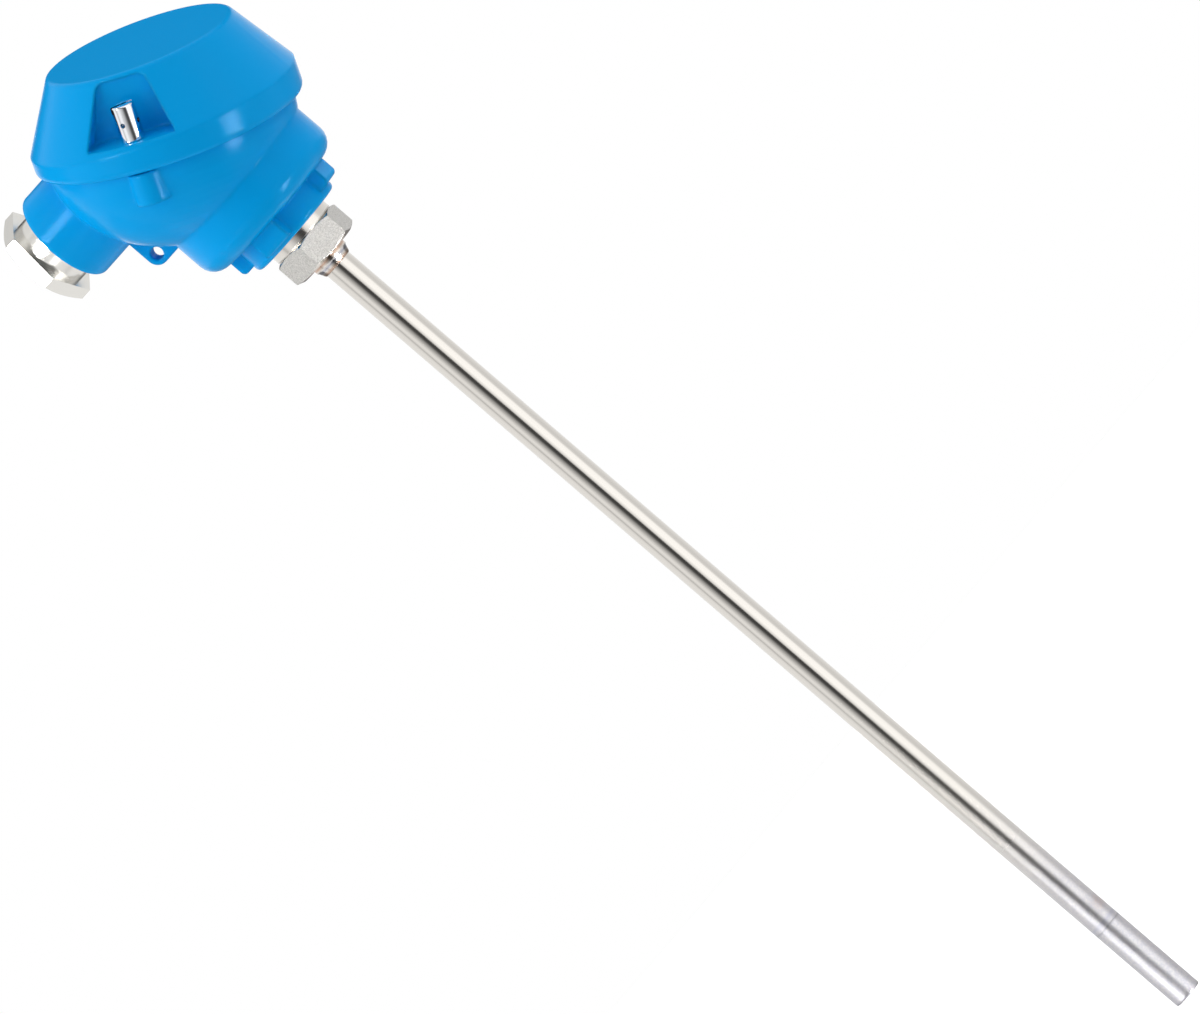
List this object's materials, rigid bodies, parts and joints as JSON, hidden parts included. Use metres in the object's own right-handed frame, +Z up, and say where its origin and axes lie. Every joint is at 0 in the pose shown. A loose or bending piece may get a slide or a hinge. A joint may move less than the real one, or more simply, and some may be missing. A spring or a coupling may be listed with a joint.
{
  "type": "resistance thermometer with connection head",
  "caption": "Straight stem temperature probe with a welded tip, a hex neck fitting and a blue connection head with a sloping hinged lid, lid screw and plugged cable entry.",
  "frame": {"origin": "on the stem's axis, where the straight stem leaves the weld under the neck fitting", "axes": "+Z up the stem into the head, cable entry towards -X, lid screw towards -Y, lid hinge towards +Y; the lid slopes down towards +X"},
  "size_m": [0.0975, 0.0907, 0.4257],
  "materials": {
    "blue_coating": "semi-gloss blue epoxy powder coat on die-cast aluminium",
    "stainless": "drawn and polished stainless steel, 1.4571",
    "chrome_plate": "bright chromium plate on steel",
    "nickel_plate": "satin nickel plate on brass or steel",
    "black_rubber": "black nitrile rubber",
    "fibre": "red-brown vulcanised fibre",
    "ceramic": "off-white steatite, half glazed",
    "brass": "turned brass",
    "red_sleeve": "red glass-silk sleeve",
    "white_sleeve": "white glass-silk sleeve",
    "potting": "brown epoxy resin",
    "powder": "packed magnesia powder"
  },
  "bodies": {
    "head": {"housing": "blue_coating", "hinge_pin": "stainless", "entry_plug": "nickel_plate", "plug_seal": "fibre", "neck_fitting": "stainless", "stem_tube": "stainless", "tip": "stainless", "terminal_block": "ceramic", "terminal_1": "brass", "terminal_2": "brass", "terminal_3": "brass", "terminal_4": "brass", "terminal_screws": "nickel_plate", "block_screws": "nickel_plate", "block_washers": "nickel_plate", "earth_screw": "nickel_plate", "earth_washer": "brass", "lead_1": "nickel_plate", "lead_2": "nickel_plate", "lead_3": "nickel_plate", "lead_4": "nickel_plate", "red_sleeves": "red_sleeve", "white_sleeves": "white_sleeve", "lead_seal": "potting", "ceramic_beads": "ceramic", "sensing_element": "ceramic", "tip_powder": "powder"},
    "lid": {"lid": "blue_coating", "lid_gasket": "black_rubber"},
    "lid_screw": {"lid_screw": "chrome_plate"}
  },
  "joints": [
    {"name": "lid_hinge", "type": "hinge", "parent": "head", "child": "lid", "pos_m": [-0.00145, 0.0456, 0.0637], "axis": [-0.8526, 0, 0.5225], "range_deg": [0, 110]},
    {"name": "lid_screw_turn", "type": "hinge", "parent": "lid", "child": "lid_screw", "pos_m": [0.0022, -0.0344, 0.06967], "axis": [0.5225, 0, 0.8526], "continuous": true}
  ]
}
